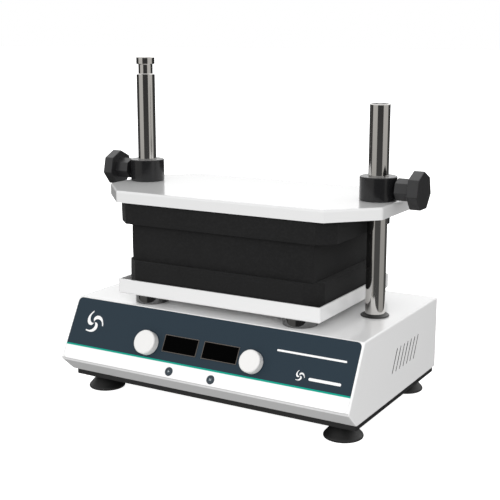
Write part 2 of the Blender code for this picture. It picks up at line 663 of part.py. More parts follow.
# ---------------------------------------------------------------- orbiting platform
def post_places():
    return [(sx * POST_X, MID_Y + sy * POST_DY) for sy in (-1, 1) for sx in (-1, 1)]


def moving_frame():
    holes = [(side * POLE_X, MID_Y, POLE_R + GAP) for side in (-1, 1)]
    holes += [(side * IDLER_X, MID_Y, IDLER_PIN_R + 0.0004) for side in (-1, 1)]
    holes += [(0, MID_Y, BEARING_R + GAP)]
    outline = rectangle(FRAME_HALF_X, FRAME_HALF_Y, MID_Y, 0.0120, 3)
    keep(plate(outline, FRAME_LOW_Z, FRAME_TOP_Z, holes), "moving_frame", STEEL, 0.45, 1)


def poles_and_posts():
    for name, side, top in (("left", -1, LEFT_POLE_TOP_Z), ("right", 1, RIGHT_POLE_TOP_Z)):
        chamfer = 0.0008
        profile = [(0, top), (POLE_R - chamfer, top), (POLE_R, top - chamfer)]
        if side < 0:
            profile += [(POLE_R, GROOVE_HIGH_Z), (GROOVE_R, GROOVE_HIGH_Z),
                        (GROOVE_R, GROOVE_LOW_Z), (POLE_R, GROOVE_LOW_Z)]
        profile += [(POLE_R, POLE_FOOT_Z), (0, POLE_FOOT_Z)]
        keep(turned(profile, (side * POLE_X, MID_Y, 0), 32), f"pole_{name}", STEEL, 0.12, 1)
        low = CASE_TOP_Z + GAP
        seal = [(POLE_R + 0.0016, low + SEAL_H), (SEAL_R - 0.0008, low + 0.0016), (SEAL_R, low + 0.0008),
                (SEAL_R, low), (POLE_R + GAP, low), (POLE_R + GAP, low + SEAL_H)]
        keep(turned(seal, (side * POLE_X, MID_Y, 0), 28), f"pole_seal_{name}", BLACK_RUBBER, 0.5)
    low, high = CASE_TOP_Z + GAP, TRAY_LOW_Z - GAP
    profile = [(0, high), (SHROUD_R, high), (SHROUD_R, low), (POST_R, low),
               (POST_R, FRAME_TOP_Z + GAP), (0, FRAME_TOP_Z + GAP)]
    names = ("front_left", "front_right", "rear_left", "rear_right")
    for name, (x, y) in zip(names, post_places()):
        keep(turned(profile, (x, y, 0), 28), f"tray_post_{name}", STEEL, 0.12, 1)


def tray():
    outline = rectangle(TRAY_HALF_X, TRAY_HALF_Y, STACK_Y)
    pan = open_shell([(x, y, TRAY_LOW_Z) for x, y in outline], (0, 0, TRAY_TOP_Z - TRAY_LOW_Z),
                     2, TRAY_TOP_Z, TRAY_WALL, TRAY_WALL + 0.0002)
    keep(pan, "tray", WHITE_PAINT, 0.30)


def tube_places():
    return [((column - (TUBE_COLUMNS - 1) / 2) * TUBE_PITCH_X,
             STACK_Y + (row - (TUBE_ROWS - 1) / 2) * TUBE_PITCH_Y)
            for row in range(TUBE_ROWS) for column in range(TUBE_COLUMNS)]


def rack():
    """Two foam blocks, with holes for tubes through the upper one and part of the lower one."""
    floor = TRAY_LOW_Z + TRAY_WALL + GAP
    outline = cut_corners(RACK_LOW_HALF_X, RACK_LOW_HALF_Y, RACK_CUT_X, RACK_CUT_Y)
    lower = plate(outline, floor, RACK_STEP_Z)
    cut(lower, pegs(tube_places(), TUBE_R, TUBE_LOW_Z, RACK_STEP_Z + 0.01))
    keep(lower, "rack_lower_block", FOAM, 0.9)
    outline = rectangle(RACK_UP_HALF_X, RACK_UP_HALF_Y, STACK_Y, 0.0030, 2)
    upper = plate(outline, RACK_STEP_Z + GAP, RACK_TOP_Z)
    cut(upper, pegs(tube_places(), TUBE_R, RACK_STEP_Z - 0.01, RACK_TOP_Z + 0.01))
    keep(upper, "rack_upper_block", FOAM, 0.9)


# ---------------------------------------------------------------- clamp
def clamp_plate_and_cushion():
    outline = cut_corners(CLAMP_HALF_X, CLAMP_HALF_Y, CLAMP_CUT_X, CLAMP_CUT_Y)
    pan = open_shell([(x, y, CLAMP_LOW_Z) for x, y in outline], (0, 0, CLAMP_TOP_Z - CLAMP_LOW_Z),
                     2, CLAMP_LOW_Z, CLAMP_SHEET, CLAMP_SHEET + 0.0002)
    cut(pan, pegs([(side * POLE_X, MID_Y) for side in (-1, 1)], SPIGOT_R + GAP,
                  CLAMP_TOP_Z - 0.01, CLAMP_TOP_Z + 0.01, 24))
    keep(pan, "clamp_plate", WHITE_PAINT, 0.30)
    outline = cut_corners(CUSHION_HALF_X, CUSHION_HALF_Y, CUSHION_CUT_X, CUSHION_CUT_Y)
    cushion = plate(outline, RACK_TOP_Z + GAP, CLAMP_TOP_Z - CLAMP_SHEET - GAP)
    cut(cushion, pegs([(side * POLE_X, MID_Y) for side in (-1, 1)], NUT_R + GAP,
                      NUT_LOW_Z - GAP, CLAMP_TOP_Z + 0.01, 28))
    keep(cushion, "clamp_cushion", FOAM, 0.9)


def collars():
    low = CLAMP_TOP_Z + GAP
    profile = [(COLLAR_R - 0.0006, COLLAR_TOP_Z), (COLLAR_R, COLLAR_TOP_Z - 0.0006), (COLLAR_R, low),
               (SPIGOT_R, low), (SPIGOT_R, NUT_LOW_Z), (COLLAR_BORE_R, NUT_LOW_Z),
               (COLLAR_BORE_R, COLLAR_TOP_Z)]
    nut_top = CLAMP_TOP_Z - CLAMP_SHEET - GAP
    for name, side in (("left", -1), ("right", 1)):
        centre = (side * POLE_X, MID_Y, 0)
        collar = turned(profile, centre, 36)
        cut(collar, rod(SCREW_R + GAP, (side * (POLE_X + 0.008), MID_Y, KNOB_Z),
                        (side * (POLE_X + 0.040), MID_Y, KNOB_Z), 16))
        keep(collar, f"collar_{name}", BLACK_PLASTIC, 0.35)
        nut = ring(SPIGOT_R + GAP, NUT_R, NUT_LOW_Z + 0.0008, nut_top, centre, 28)
        keep(nut, f"collar_nut_{name}", BLACK_PLASTIC, 0.4)


def clamp_knobs():
    pad_in = POLE_X + POLE_R + 2 * GAP
    for name, side in (("left", -1), ("right", 1)):
        def along(x):
            return (side * x, MID_Y, KNOB_Z)
        pad = rod(SCREW_R, along(pad_in), along(pad_in + PAD_LENGTH), 16)
        keep(set_origin(pad, along(pad_in)), f"clamp_pad_{name}", (0.70, 0.52, 0.22), 0.3, 1)
        screw_in = pad_in + PAD_LENGTH + GAP
        knob = rod(SCREW_R, along(screw_in), along(HUB_IN_X + 0.005), 16)
        hub = rod(HUB_R, along(HUB_IN_X), along(HUB_OUT_X + 0.002),
                  KNOB_SIDES, math.pi)
        head = rod(HEAD_R, along(HUB_OUT_X), along(HEAD_OUT_X), KNOB_SIDES, math.pi)
        round_edges(head, 0.0012, 2)
        join(knob, hub, head)
        keep(set_origin(knob, along(HUB_OUT_X)), f"clamp_knob_{name}", BLACK_PLASTIC, 0.4)


# ---------------------------------------------------------------- assembly
def main():
    global PARTS, CUTTERS
    for obj in list(bpy.data.objects):
        bpy.data.objects.remove(obj)
    PARTS = new_collection("vortex_mixer")
    CUTTERS = new_collection("cutters")
    panel = panel_frame()
    casing(panel)
    base_and_feet()
    front_overlay(panel)
    displays(panel)
    control_board(panel)
    dials_and_buttons(panel)
    power_inlet()
    power_switch()
    drive_shaft()
    motor_and_belt()
    idlers()
    moving_frame()
    poles_and_posts()
    tray()
    rack()
    clamp_plate_and_cushion()
    collars()
    clamp_knobs()


main()
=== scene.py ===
"""Looks for the multi-tube vortex mixer: materials, detailed pieces, floor, light and camera.

Lengths are in metres in the row frame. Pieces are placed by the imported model's own boxes.
"""
import json
import math

import bmesh
import bpy
from mathutils import Matrix, Vector

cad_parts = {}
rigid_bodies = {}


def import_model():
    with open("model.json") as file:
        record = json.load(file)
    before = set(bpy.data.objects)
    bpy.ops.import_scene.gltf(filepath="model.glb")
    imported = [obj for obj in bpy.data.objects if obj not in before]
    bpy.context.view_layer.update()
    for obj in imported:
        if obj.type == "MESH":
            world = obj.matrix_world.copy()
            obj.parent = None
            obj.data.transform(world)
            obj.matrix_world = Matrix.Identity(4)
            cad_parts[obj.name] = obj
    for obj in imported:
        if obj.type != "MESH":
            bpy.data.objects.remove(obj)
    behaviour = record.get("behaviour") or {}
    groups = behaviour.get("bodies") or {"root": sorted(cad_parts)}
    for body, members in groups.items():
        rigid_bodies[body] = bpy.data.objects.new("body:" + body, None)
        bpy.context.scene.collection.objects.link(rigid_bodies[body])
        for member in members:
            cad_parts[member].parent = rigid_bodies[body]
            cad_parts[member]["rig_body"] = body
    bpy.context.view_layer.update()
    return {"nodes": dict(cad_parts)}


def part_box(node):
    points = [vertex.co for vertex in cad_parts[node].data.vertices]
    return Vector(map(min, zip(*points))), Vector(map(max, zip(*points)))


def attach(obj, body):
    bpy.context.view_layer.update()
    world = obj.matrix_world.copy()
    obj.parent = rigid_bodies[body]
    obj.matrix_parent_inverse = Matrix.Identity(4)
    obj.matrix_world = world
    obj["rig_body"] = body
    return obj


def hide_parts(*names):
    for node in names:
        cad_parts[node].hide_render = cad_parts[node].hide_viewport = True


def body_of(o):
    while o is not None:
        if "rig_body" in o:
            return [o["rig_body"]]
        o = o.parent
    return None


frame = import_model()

NODES = frame["nodes"]
TAU = 2 * math.pi
FAR = 1.0  # beyond the object on every side


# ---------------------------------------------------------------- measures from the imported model
def middle(node):
    low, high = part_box(node)
    return (low + high) / 2


def half(node):
    low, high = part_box(node)
    return (high - low) / 2


# the right pole stands at POLE_X and the left one opposite; the rack's middle is at STACK_Y
POLE_R = half("pole_left").x
POLE_X = middle("pole_right").x
MID_Y = middle("pole_right").y
STACK_Y = middle("tray").y
CASE_TOP_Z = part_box("casing")[1].z
CASE_REAR_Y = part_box("casing")[1].y

# The sloping front runs from its top edge to its foot, each given as (y, z). On it, u runs across,
# v down from the top edge, and w out of the surface.
FRONT_TOP, FRONT_FOOT = (-0.0993, 0.1266), (-0.1406, 0.0506)
SLOPE = math.atan2(FRONT_TOP[1] - FRONT_FOOT[1], FRONT_TOP[0] - FRONT_FOOT[0])
PANEL = (Matrix.Translation((0, FRONT_TOP[0], CASE_TOP_Z)) @ Matrix.Rotation(SLOPE, 4, "X")
         @ Matrix.Diagonal((1, -1, 1, 1)))

# how far down the sloping front each row of its features lies, and where its teal line runs
DISPLAY_V, DIAL_V, BUTTON_V = 0.0419, 0.0465, 0.0766
TEAL_TOP_V, TEAL_LOW_V = 0.0642, 0.0664


def panel_z(v):
    """The height above the bench of a line on the front panel."""
    return CASE_TOP_Z - v * math.sin(SLOPE)


def on_panel(u, v, w=0.0):
    """Moves a shape drawn in X-Y onto the front panel, with its height pointing out of it."""
    return PANEL @ Matrix.Translation((u, v, w))


# ---------------------------------------------------------------- node materials
def build_nodes(name):
    """A bare material: its node tree, its shader and the output of its object coordinates."""
    mat = bpy.data.materials.new(name)
    mat.use_nodes = True
    tree = mat.node_tree
    tree.nodes.clear()
    out = tree.nodes.new("ShaderNodeOutputMaterial")
    shader = tree.nodes.new("ShaderNodeBsdfPrincipled")
    tree.links.new(shader.outputs[0], out.inputs[0])
    coords = tree.nodes.new("ShaderNodeTexCoord")
    return mat, tree, shader, coords.outputs["Object"]


def noise(tree, vector, scale, detail=2.0, stretch=(1, 1, 1)):
    """A soft noise from 0 to 1, finer along an axis where stretch is larger."""
    if stretch != (1, 1, 1):
        mapping = tree.nodes.new("ShaderNodeMapping")
        mapping.inputs["Scale"].default_value = stretch
        tree.links.new(vector, mapping.inputs[0])
        vector = mapping.outputs[0]
    node = tree.nodes.new("ShaderNodeTexNoise")
    node.inputs["Scale"].default_value = scale
    node.inputs["Detail"].default_value = detail
    tree.links.new(vector, node.inputs["Vector"])
    return node.outputs["Fac"]


def remap(tree, value, low, high, out_low, out_high, smooth=False):
    """A value that goes from out_low to out_high while another goes from low to high."""
    node = tree.nodes.new("ShaderNodeMapRange")
    node.interpolation_type = "SMOOTHSTEP" if smooth else "LINEAR"
    for i, number in enumerate((low, high, out_low, out_high), start=1):
        node.inputs[i].default_value = number
    tree.links.new(value, node.inputs[0])
    return node.outputs[0]


def mixed(tree, factor, first, second):
    """A colour between two others, each an output or a plain colour."""
    node = tree.nodes.new("ShaderNodeMix")
    node.data_type = "RGBA"
    tree.links.new(factor, node.inputs[0])
    for socket, value in ((node.inputs[6], first), (node.inputs[7], second)):
        if isinstance(value, bpy.types.NodeSocket):
            tree.links.new(value, socket)
        else:
            socket.default_value = (*value, 1)
    return node.outputs[2]


def math_node(tree, operation, *values):
    node = tree.nodes.new("ShaderNodeMath")
    node.operation = operation
    for socket, value in zip(node.inputs, values):
        tree.links.new(value, socket)
    return node.outputs[0]


def product(tree, first, *others):
    for other in others:
        first = math_node(tree, "MULTIPLY", first, other)
    return first


def between(tree, value, start, end, soft):
    """1 where the value lies between start and end, falling to 0 over a soft edge outside them."""
    return product(tree, remap(tree, value, start - soft, start, 0, 1),
                   remap(tree, value, end, end + soft, 1, 0))


def axes(tree, vector):
    """The X, Y and Z outputs of a vector."""
    split = tree.nodes.new("ShaderNodeSeparateXYZ")
    tree.links.new(vector, split.inputs[0])
    return split.outputs


def bump(tree, shader, height, strength, distance, below=None):
    """Raises the shader's surface by a height, on top of what lies below it."""
    node = tree.nodes.new("ShaderNodeBump")
    node.inputs["Strength"].default_value = strength
    node.inputs["Distance"].default_value = distance
    tree.links.new(height, node.inputs["Height"])
    if below is not None:
        tree.links.new(below, node.inputs["Normal"])
    tree.links.new(node.outputs[0], shader.inputs["Normal"])
    return node.outputs[0]


def grey(value):
    return (value, value, value)


def scaled(colour, factor):
    return tuple(min(1.0, c * factor) for c in colour)


def surface(name, colour, rough, metallic=0.0, spread=0.04, patch=25.0, rough_spread=0.05,
            grain=0.25, grain_scale=1800.0, grain_depth=0.00004, stretch=(1, 1, 1), **constants):
    """A material whose colour and roughness drift in soft patches, with a fine raised grain."""
    mat, tree, shader, vector = build_nodes(name)
    patches = noise(tree, vector, patch, 3.0)
    shade = mixed(tree, patches, scaled(colour, 1 - spread), scaled(colour, 1 + spread))
    tree.links.new(shade, shader.inputs["Base Color"])
    fine = noise(tree, vector, grain_scale, 2.0, stretch)
    rough_drift = noise(tree, vector, patch * 6, 4.0, stretch)
    tree.links.new(remap(tree, rough_drift, 0.3, 0.7, rough - rough_spread, rough + rough_spread),
                   shader.inputs["Roughness"])
    shader.inputs["Metallic"].default_value = metallic
    if grain:
        bump(tree, shader, fine, grain, grain_depth)
    for socket, value in constants.items():
        shader.inputs[socket.replace("_", " ")].default_value = value
    return mat


def foam_material(name, colour):
    """Closed-cell foam: a skin of small burst cells over a slow unevenness."""
    mat, tree, shader, vector = build_nodes(name)
    cells = tree.nodes.new("ShaderNodeTexVoronoi")
    cells.inputs["Scale"].default_value = 1100.0
    tree.links.new(vector, cells.inputs["Vector"])
    pores = noise(tree, vector, 420.0, 5.0)
    slow = noise(tree, vector, 18.0, 3.0)
    patches = mixed(tree, slow, scaled(colour, 0.85), scaled(colour, 1.15))
    specks = remap(tree, pores, 0.42, 0.66, 0.0, 0.55)
    tree.links.new(mixed(tree, specks, patches, scaled(colour, 1.7)), shader.inputs["Base Color"])
    tree.links.new(remap(tree, pores, 0.3, 0.7, 0.78, 0.95), shader.inputs["Roughness"])
    shader.inputs["Specular IOR Level"].default_value = 0.15
    shader.inputs["Sheen Weight"].default_value = 0.04
    first = bump(tree, shader, cells.outputs["Distance"], 0.35, 0.00025)
    bump(tree, shader, slow, 0.25, 0.0012, first)
    return mat


def printed_sheet():
    """The front sheet: slate blue, a thin teal line, then white, under one satin film."""
    mat, tree, shader, vector = build_nodes("printed_sheet")
    height = axes(tree, vector)["Z"]
    drift = noise(tree, vector, 30.0, 3.0)
    blue = mixed(tree, drift, (0.0212, 0.0352, 0.0488), (0.0226, 0.0374, 0.0514))
    teal = (0.0, 0.330, 0.245)
    white = mixed(tree, drift, grey(0.92), grey(0.94))
    soft = 0.00012
    line_top, line_low = panel_z(TEAL_TOP_V), panel_z(TEAL_LOW_V)
    below_line = remap(tree, height, line_low + soft, line_low - soft, 0, 1)
    below_blue = remap(tree, height, line_top + soft, line_top - soft, 0, 1)
    teal_or_white = mixed(tree, below_line, teal, white)
    tree.links.new(mixed(tree, below_blue, blue, teal_or_white), shader.inputs["Base Color"])
    tree.links.new(remap(tree, drift, 0.3, 0.7, 0.36, 0.44), shader.inputs["Roughness"])
    shader.inputs["Specular IOR Level"].default_value = 0.12
    bump(tree, shader, noise(tree, vector, 2600.0), 0.10, 0.00002)
    return mat


# the gloss and the fine grain that the casing, the tray and the clamp plate share
ENAMEL = {"spread": 0.004, "rough_spread": 0.006, "grain": 0.04, "grain_scale": 500.0,
          "grain_depth": 0.00001, "Coat_Weight": 0.20, "Coat_Roughness": 0.05}

# The casing's front has bands of painted shade below the panel, on its lip and chin, each given by its
# lowest height, its highest height and its brightness. The vents take up one stretch of each side;
# their walls get painted shade.
FRONT_SHADE_Y = -0.1125
PAINTED_SHADE_BANDS = ((0.0510, 0.0525, 0.62), (0.0499, 0.0506, 0.86), (-FAR, 0.0481, 0.75))
VENTS_Y, VENTS_Z = (-0.030, 0.100), (0.050, 0.105)


def casing_enamel_painted_light_and_shade():
    """White enamel made brighter as painted light, with painted shade greying the lip and chin at the
    front and darkening the walls in the vents.
    """
    # painted light: the casing's white is set brighter than the tray's enamel, standing in for more
    # light falling on it
    colour = grey(0.905)
    mat = surface("casing_enamel_painted_light_and_shade", colour, 0.16, **ENAMEL)
    tree = mat.node_tree
    shader = tree.nodes["Principled BSDF"]
    paint_and_shade = shader.inputs["Base Color"].links[0].from_socket
    x, y, z = axes(tree, tree.nodes["Texture Coordinate"].outputs["Object"])
    outward = math_node(tree, "ABSOLUTE", x)
    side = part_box("casing")[1].x
    inside_edge = between(tree, outward, -FAR, side - 0.0010, 0.0003)
    front = between(tree, y, -FAR, FRONT_SHADE_Y, 0.0005)
    # painted shade: the lip and chin below the panel are greyed, standing in for the shade on the
    # rounded nose and the downward chin
    for low, high, brightness in PAINTED_SHADE_BANDS:
        band = product(tree, inside_edge, front, between(tree, z, low, high, 0.0004))
        paint_and_shade = mixed(tree, band, paint_and_shade, scaled(colour, brightness))
    # painted shade: the walls in the vents are made near black, standing in for the shade inside the
    # slots
    vent_shade = product(tree, between(tree, outward, 0, side - 0.0003, 0.0002),
                        between(tree, y, *VENTS_Y, 0.001), between(tree, z, *VENTS_Z, 0.001))
    tree.links.new(mixed(tree, vent_shade, paint_and_shade, grey(0.035)), shader.inputs["Base Color"])
    return mat


MATERIALS = {
    "enamel": surface("white_enamel", grey(0.80), 0.16, **ENAMEL),
    # painted shade: the clamp plate's enamel is a darker copy of the tray's, standing in for less
    # light falling on it
    "shaded_plate_enamel": surface("shaded_plate_enamel", grey(0.735), 0.14, **ENAMEL),
    "casing_enamel_painted_light_and_shade": casing_enamel_painted_light_and_shade(),
    "panel": printed_sheet(),
    "base": surface("black_paint", (0.0105, 0.0105, 0.0110), 0.42, spread=0.12, grain=0.35,
                    grain_scale=1500.0, grain_depth=0.00006),
    "rubber": surface("foot_rubber", grey(0.0075), 0.50, spread=0.20, patch=60.0, rough_spread=0.08,
                      grain=0.35, grain_scale=1400.0, grain_depth=0.00006),
    "seal": surface("seal_rubber", grey(0.018), 0.38, spread=0.15, patch=80.0, grain=0.2,
                    grain_scale=1800.0),
    "black_plastic": surface("black_plastic", (0.0085, 0.0085, 0.0092), 0.21, spread=0.10, patch=60.0,
                             grain=0.16, grain_scale=2400.0, grain_depth=0.00003),
    "knob_plastic": surface("knob_plastic", (0.016, 0.016, 0.017), 0.33, spread=0.10, patch=70.0,
                            grain=0.30, grain_scale=1700.0, grain_depth=0.00004),
    "polished": surface("polished_steel", (0.66, 0.645, 0.625), 0.085, 1.0, spread=0.02,
                        rough_spread=0.008, grain=0.015, grain_scale=4.0, grain_depth=0.00001,
                        stretch=(8, 8, 260)),
    "post_steel": surface("post_steel", grey(0.15), 0.085, 1.0, spread=0.02,
                          rough_spread=0.008, grain=0.015, grain_scale=4.0, grain_depth=0.00001,
                          stretch=(8, 8, 260)),
    "plain_steel": surface("plain_steel", grey(0.50), 0.34, 1.0, spread=0.06, grain=0.2,
                           grain_scale=30.0, stretch=(4, 4, 60)),
    "dark_steel": surface("dark_steel", (0.10, 0.10, 0.11), 0.40, 0.6, spread=0.10),
    "cast": surface("cast_aluminium", (0.42, 0.42, 0.43), 0.48, 1.0, spread=0.08, grain=0.6,
                    grain_scale=600.0, grain_depth=0.0002),
    "brass": surface("brass", (0.70, 0.50, 0.20), 0.28, 1.0, spread=0.06),
    "board": surface("circuit_board", (0.012, 0.085, 0.030), 0.42, spread=0.25, patch=160.0),
    "belt": surface("belt_rubber", grey(0.016), 0.62, spread=0.15, grain=0.4, grain_scale=700.0,
                    grain_depth=0.0001),
    "supply": surface("supply_case", (0.55, 0.55, 0.56), 0.36, 1.0, spread=0.05, grain=0.3,
                      grain_scale=40.0, stretch=(1, 40, 40)),
    "dial": surface("dial_plastic", (0.80, 0.795, 0.785), 0.32, spread=0.01, patch=60.0, grain=0.12,
                    grain_scale=2200.0, grain_depth=0.00003, Coat_Weight=0.15,
                    Coat_Roughness=0.15),
    "button": surface("button_plastic", (0.020, 0.034, 0.046), 0.36, spread=0.08, patch=90.0,
                      grain=0.2, grain_scale=2400.0),
    "glass": surface("display_glass", grey(0.0006), 0.16, spread=0.2, patch=40.0,
                     rough_spread=0.02, grain=0.0, Specular_IOR_Level=0.01),
    "bezel": surface("display_bezel", (0.085, 0.072, 0.062), 0.40, spread=0.08, patch=90.0,
                     grain=0.2),
    "print": surface("light_print", (0.42, 0.46, 0.48), 0.45, spread=0.05, grain=0.1),
    "ink": surface("white_ink", grey(0.90), 0.50, spread=0.02, grain=0.1, Specular_IOR_Level=0.2),
    "foam": foam_material("black_foam", (0.0116, 0.0116, 0.0118)),
}


def even_shading(obj):
    """Keeps large flat faces flat in the shading, beside their small rounded edges."""
    even = obj.modifiers.new("Even shading", "WEIGHTED_NORMAL")
    even.keep_sharp = True
    even.weight = 100


for key, nodes in {
        "casing_enamel_painted_light_and_shade": ("casing",),
        "enamel": ("tray",),
        "shaded_plate_enamel": ("clamp_plate",),
        "panel": ("front_overlay",),
        "base": ("base_plate",),
        "glass": ("display_left", "display_right"),
        "board": ("control_board",),
        "dark_steel": ("encoder_left", "encoder_right", "drive_motor"),
        "black_plastic": ("power_inlet", "switch_frame", "power_rocker", "fuse_drawer"),
        "supply": ("power_supply",),
        "belt": ("drive_belt",),
        "cast": ("drive_housing", "idler_housing_left", "idler_housing_right", "driven_pulley",
                 "motor_pulley", "moving_frame"),
        "plain_steel": ("motor_bracket", "shaft_bearing_lower", "shaft_bearing_upper",
                        "eccentric_shaft", "counterweight", "motor_shaft", "idler_crank_left",
                        "idler_crank_right", "platform_bearing"),
        "brass": ("clamp_pad_left", "clamp_pad_right")}.items():
    for node in nodes:
        NODES[node].data.materials.clear()
        NODES[node].data.materials.append(MATERIALS[key])
        even_shading(NODES[node])


# ---------------------------------------------------------------- making pieces
def linked(name, bm):
    """A plain object from bm."""
    mesh = bpy.data.meshes.new(name)
    bm.to_mesh(mesh)
    bm.free()
    obj = bpy.data.objects.new(name, mesh)
    bpy.context.scene.collection.objects.link(obj)
    return obj


def piece(name, bm, material, body, replaces=(), smooth=35.0):
    """A finished mesh from bm that rides on a body."""
    bmesh.ops.recalc_face_normals(bm, faces=bm.faces)
    return finished(linked(name, bm), material, body, replaces, smooth)


def finished(obj, material, body, replaces, smooth):
    """Gives an object its material, its smooth shading and its body, and hides the parts it replaces.
    """
    obj.data.materials.clear()
    obj.data.materials.append(MATERIALS[material])
    obj.data.polygons.foreach_set("use_smooth", [True] * len(obj.data.polygons))
    obj.data.set_sharp_from_angle(angle=math.radians(smooth))
    if replaces:
        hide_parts(*replaces)
    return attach(obj, body)


def baked(obj):
    """Turn an object's modifiers into its mesh."""
    bpy.context.view_layer.update()
    mesh = bpy.data.meshes.new_from_object(obj.evaluated_get(bpy.context.evaluated_depsgraph_get()))
    obj.modifiers.clear()
    obj.data = mesh
    return obj


def eased(profile, radius, steps=3):
    """The profile with its corners rounded by up to radius."""
    points = [Vector(p) for p in profile]
    out = [points[0]]
    for before, corner, after in zip(points, points[1:], points[2:]):
        into, away = before - corner, after - corner
        reach = min(radius, 0.45 * into.length, 0.45 * away.length)
        start, end = corner + into.normalized() * reach, corner + away.normalized() * reach
        for i in range(steps + 1):
            t = i / steps
            out.append(start * (1 - t) ** 2 + corner * 2 * t * (1 - t) + end * t * t)
    return out + [points[-1]]


def supported(profile):
    """The profile with an extra point near each end of its long runs, which keeps shading crisp."""
    margin = 0.0004
    points = [Vector(p) for p in profile]
    out = [points[0]]
    for a, b in zip(points, points[1:]):
        if (b - a).length > 4 * margin:
            step = (b - a).normalized() * margin
            out += [a + step, b - step]
        out.append(b)
    return out


def lathe(profile, centre=(0, 0, 0), steps=72, matrix=None):
    """A bmesh of the (radius, height) profile turned about Z, moved to centre or by the matrix."""
    bm = bmesh.new()
    profile = supported(profile)
    rings = []
    for radius, height in profile:
        if radius < 1e-7:
            rings.append([bm.verts.new((0, 0, height))])
        else:
            rings.append([bm.verts.new((radius * math.cos(TAU * i / steps),
                                        radius * math.sin(TAU * i / steps), height))
                          for i in range(steps)])
    pairs = list(zip(rings, rings[1:]))
    if len(rings[0]) > 1 and len(rings[-1]) > 1:
        pairs.append((rings[-1], rings[0]))
    for one, two in pairs:
        for i in range(steps):
            j = (i + 1) % steps
            if len(one) == 1:
                bm.faces.new((one[0], two[i], two[j]))
            elif len(two) == 1:
                bm.faces.new((one[i], one[j], two[0]))
            else:
                bm.faces.new((one[i], one[j], two[j], two[i]))
    bm.transform(matrix if matrix is not None else Matrix.Translation(centre))
    return bm


def prism(outline, low, high):
    """A bmesh of the (x, y) outline between two heights."""
    bm = bmesh.new()
    face = bm.faces.new([bm.verts.new((x, y, low)) for x, y in outline])
    swept = bmesh.ops.extrude_face_region(bm, geom=[face])["geom"]
    bmesh.ops.translate(bm, vec=(0, 0, high - low),
                        verts=[v for v in swept if isinstance(v, bmesh.types.BMVert)])
    bmesh.ops.recalc_face_normals(bm, faces=bm.faces)
    return bm


def bevelled(bm, width, segments, angle):
    """The bmesh with its edges sharper than angle rounded by width."""
    sharp = [e for e in bm.edges if e.is_manifold and e.calc_face_angle(0) > math.radians(angle)]
    bmesh.ops.bevel(bm, geom=sharp, offset=width, segments=segments, profile=0.5,
                    affect="EDGES", clamp_overlap=True)
    return bm


def merged(*parts):
    """One bmesh from several."""
    whole = bmesh.new()
    for part in parts:
        mesh = bpy.data.meshes.new("part")
        part.to_mesh(mesh)
        part.free()
        whole.from_mesh(mesh)
        bpy.data.meshes.remove(mesh)
    return whole


def frame_ring(outer, inner, low, high, matrix=None):
    """A flat frame between two outlines with the same number of points."""
    bm = bmesh.new()
    rings = [[bm.verts.new((x, y, z)) for x, y in outline]
             for outline, z in ((outer, low), (outer, high), (inner, high), (inner, low))]
    count = len(outer)
    for one, two in zip(rings, rings[1:] + rings[:1]):
        for i in range(count):
            j = (i + 1) % count
            bm.faces.new((one[i], one[j], two[j], two[i]))
    bmesh.ops.recalc_face_normals(bm, faces=bm.faces)
    bevelled(bm, 0.00012, 2, 60)
    if matrix is not None:
        bm.transform(matrix)
    return bm


def rectangle(half_x, half_y, centre=(0, 0), corner=0.0, steps=5):
    """A rectangle's outline, with corners of radius corner."""
    points = []
    for quarter, (sx, sy) in enumerate(((1, 1), (-1, 1), (-1, -1), (1, -1))):
        for i in range(steps + 1 if corner else 1):
            angle = math.radians(90 * quarter + (90 * i / steps if corner else 0))
            points.append((centre[0] + sx * (half_x - corner) + corner * math.cos(angle),
                           centre[1] + sy * (half_y - corner) + corner * math.sin(angle)))
    return points


def rounded_polygon(points, radius, steps=5):
    """A closed outline with each corner rounded."""
    out, count = [], len(points)
    for i in range(count):
        before, corner, after = (Vector(points[(i + k) % count]) for k in (-1, 0, 1))
        into, away = (before - corner).normalized(), (after - corner).normalized()
        half_angle = into.angle(away) / 2
        reach = radius / math.tan(half_angle)
        start, end = corner + into * reach, corner + away * reach
        for k in range(steps + 1):
            t = k / steps
            out.append(start * (1 - t) ** 2 + corner * 2 * t * (1 - t) + end * t * t)
    return [(p.x, p.y) for p in out]


# ---------------------------------------------------------------- poles, seals and posts
# the ring groove near the top of the left pole, as (radius, height) from its upper edge down
GROOVE = [(POLE_R, 0.4346), (POLE_R - 0.0005, 0.4342), (0.0101, 0.4340), (0.0098, 0.4335),
          (0.0098, 0.4214), (0.0101, 0.4209), (POLE_R - 0.0005, 0.4207), (POLE_R, 0.4203)]
# the radius of a tray post where it passes through the casing
POST_NECK_R = 0.0080


def pole(side):
    """A polished pole with a centre mark and an eased rim at its top."""
    node = f"pole_{side}"
    bottom, top = (corner.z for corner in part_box(node))
    profile = [(0, top - 0.0030), (0.0022, top - 0.0006), (0.0030, top), (POLE_R - 0.0009, top),
               (POLE_R - 0.0003, top - 0.00025), (POLE_R, top - 0.0009)]
    if side == "left":
        profile += GROOVE
    profile += [(POLE_R, bottom + 0.0008), (POLE_R - 0.0008, bottom), (0, bottom)]
    bm = lathe(profile, (middle(node).x, MID_Y, 0), 96)
    piece(f"detailed_pole_{side}", bm, "polished", "platform", [node], 25)


def pole_seal(side):
    """A rubber ring with a raised inner lip that hugs the pole."""
    node = f"pole_seal_{side}"
    z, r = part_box(node)[0].z, half(node).x
    profile = eased([(POLE_R + 0.0002, z + 0.0001), (POLE_R + 0.0002, z + 0.0034),
                     (POLE_R + 0.0011, z + 0.0034), (POLE_R + 0.0022, z + 0.0024),
                     (r - 0.0010, z + 0.0017), (r, z + 0.0010), (r - 0.0001, z + 0.0001)],
                    0.0006)
    bm = lathe(profile, (middle(node).x, MID_Y, 0), 72)
    piece(f"moulded_seal_{side}", bm, "seal", "platform", [node], 40)


